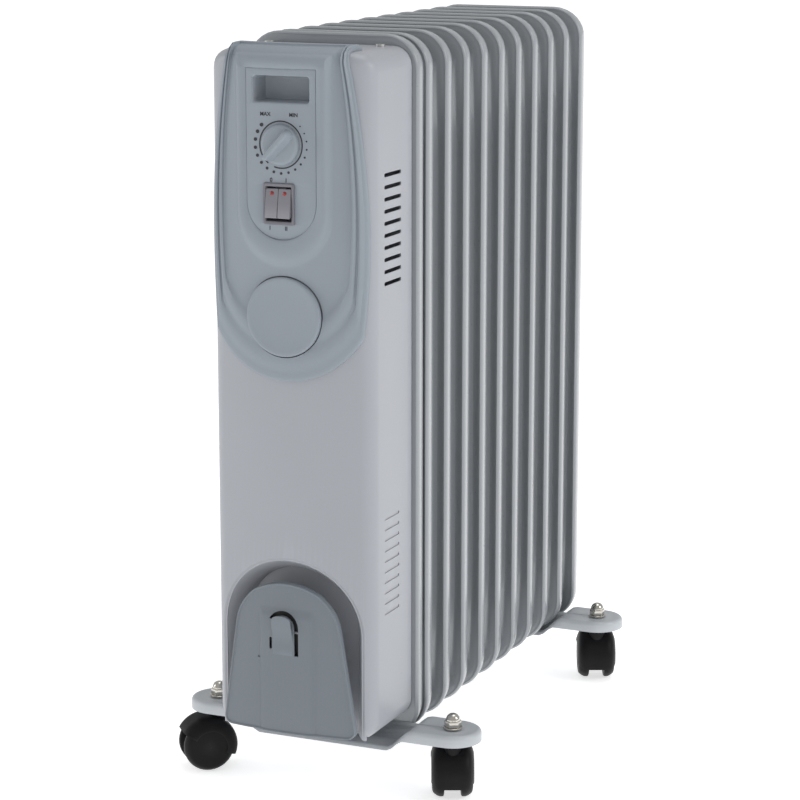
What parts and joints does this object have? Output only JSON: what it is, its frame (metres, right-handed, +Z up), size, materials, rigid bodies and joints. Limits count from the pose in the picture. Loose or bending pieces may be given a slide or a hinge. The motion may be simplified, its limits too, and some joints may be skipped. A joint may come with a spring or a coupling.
{
  "type": "oil filled radiator heater",
  "caption": "Free-standing oil filled radiator: pressed fins on hub collars, control box with dial, rockers and cord winder, foot brackets on swivelling twin-wheel casters.",
  "frame": {"origin": "on the floor, under the middle of the bounding box", "axes": "+Z up, -Y toward the face with the controls, +X to the right of someone facing the controls"},
  "size_m": [0.282, 0.5049, 0.634],
  "materials": {
    "painted_steel": "satin light grey stove enamel",
    "grey_plastic": "fine matt moulding",
    "dark_plastic": "fine matt moulding",
    "winder_plastic": "fine matt moulding",
    "black_plastic": "matt nylon",
    "nickel": "bright nickel plate",
    "zinc": "dull zinc plate",
    "lamp": "clear red lens",
    "cream_plastic": "heat-proof moulding",
    "wire": "silicone sleeve"
  },
  "bodies": {
    "heater": {"cover_plate": "painted_steel", "fin_01": "painted_steel", "fin_02": "painted_steel", "fin_03": "painted_steel", "fin_04": "painted_steel", "fin_05": "painted_steel", "fin_06": "painted_steel", "fin_07": "painted_steel", "fin_08": "painted_steel", "fin_09": "painted_steel", "fin_10": "painted_steel", "hub_collars": "painted_steel", "hub_caps": "painted_steel", "element_flange": "zinc", "heating_element": "zinc", "housing": "painted_steel", "housing_back": "painted_steel", "housing_screws": "nickel", "control_panel": "grey_plastic", "control_insert": "grey_plastic", "handle_cup": "dark_plastic", "cover_disc": "grey_plastic", "thermostat": "cream_plastic", "switch_frame": "dark_plastic", "thermal_cutout": "dark_plastic", "terminal_block": "cream_plastic", "cable_gland": "black_plastic", "wiring": "wire", "winder_recess": "painted_steel", "winder_plate": "winder_plastic", "foot_front": "painted_steel", "foot_rear": "painted_steel", "u_bolts": "zinc", "wing_nuts": "zinc", "caster_stems": "zinc", "washers": "nickel", "cap_nuts": "nickel"},
    "dial": {"dial_knob": "grey_plastic", "thermostat_spindle": "nickel"},
    "rocker_left_body": {"rocker_left": "dark_plastic", "lamp_left": "lamp"},
    "rocker_right_body": {"rocker_right": "dark_plastic", "lamp_right": "lamp"},
    "caster_fl": {"hood_fl": "black_plastic", "axle_fl": "zinc"},
    "roller_fl_in": {"wheel_fl_in": "black_plastic"},
    "roller_fl_out": {"wheel_fl_out": "black_plastic"},
    "caster_fr": {"hood_fr": "black_plastic", "axle_fr": "zinc"},
    "roller_fr_in": {"wheel_fr_in": "black_plastic"},
    "roller_fr_out": {"wheel_fr_out": "black_plastic"},
    "caster_rl": {"hood_rl": "black_plastic", "axle_rl": "zinc"},
    "roller_rl_in": {"wheel_rl_in": "black_plastic"},
    "roller_rl_out": {"wheel_rl_out": "black_plastic"},
    "caster_rr": {"hood_rr": "black_plastic", "axle_rr": "zinc"},
    "roller_rr_in": {"wheel_rr_in": "black_plastic"},
    "roller_rr_out": {"wheel_rr_out": "black_plastic"}
  },
  "joints": [
    {"name": "dial_turn", "type": "hinge", "parent": "heater", "child": "dial", "pos_m": [0, -0.23815, 0.553], "axis": [0, 1, 0], "range_deg": [0, 275]},
    {"name": "rocker_left_tilt", "type": "hinge", "parent": "heater", "child": "rocker_left_body", "pos_m": [-0.0075, -0.23415, 0.5065], "axis": [1, 0, 0], "range_deg": [0, 18]},
    {"name": "rocker_right_tilt", "type": "hinge", "parent": "heater", "child": "rocker_right_body", "pos_m": [0.0035, -0.23415, 0.5065], "axis": [1, 0, 0], "range_deg": [0, 18]},
    {"name": "swivel_fl", "type": "hinge", "parent": "heater", "child": "caster_fl", "pos_m": [-0.109, -0.14625, 0.055], "axis": [0, 0, 1], "continuous": true},
    {"name": "roll_fl_in", "type": "hinge", "parent": "caster_fl", "child": "roller_fl_in", "pos_m": [-0.11806, -0.15412, 0.022], "axis": [-0.6561, 0.7547, 0], "continuous": true},
    {"name": "roll_fl_out", "type": "hinge", "parent": "caster_fl", "child": "roller_fl_out", "pos_m": [-0.11806, -0.15412, 0.022], "axis": [-0.6561, 0.7547, 0], "continuous": true},
    {"name": "swivel_fr", "type": "hinge", "parent": "heater", "child": "caster_fr", "pos_m": [0.109, -0.14625, 0.055], "axis": [0, 0, 1], "continuous": true},
    {"name": "roll_fr_in", "type": "hinge", "parent": "caster_fr", "child": "roller_fr_in", "pos_m": [0.10412, -0.13529, 0.022], "axis": [0.9135, 0.4067, 0], "continuous": true},
    {"name": "roll_fr_out", "type": "hinge", "parent": "caster_fr", "child": "roller_fr_out", "pos_m": [0.10412, -0.13529, 0.022], "axis": [0.9135, 0.4067, 0], "continuous": true},
    {"name": "swivel_rl", "type": "hinge", "parent": "heater", "child": "caster_rl", "pos_m": [-0.109, 0.21175, 0.055], "axis": [0, 0, 1], "continuous": true},
    {"name": "roll_rl_in", "type": "hinge", "parent": "caster_rl", "child": "roller_rl_in", "pos_m": [-0.10412, 0.22271, 0.022], "axis": [0.9135, -0.4067, 0], "continuous": true},
    {"name": "roll_rl_out", "type": "hinge", "parent": "caster_rl", "child": "roller_rl_out", "pos_m": [-0.10412, 0.22271, 0.022], "axis": [0.9135, -0.4067, 0], "continuous": true},
    {"name": "swivel_rr", "type": "hinge", "parent": "heater", "child": "caster_rr", "pos_m": [0.109, 0.21175, 0.055], "axis": [0, 0, 1], "continuous": true},
    {"name": "roll_rr_in", "type": "hinge", "parent": "caster_rr", "child": "roller_rr_in", "pos_m": [0.10412, 0.22271, 0.022], "axis": [0.9135, 0.4067, 0], "continuous": true},
    {"name": "roll_rr_out", "type": "hinge", "parent": "caster_rr", "child": "roller_rr_out", "pos_m": [0.10412, 0.22271, 0.022], "axis": [0.9135, 0.4067, 0], "continuous": true}
  ]
}
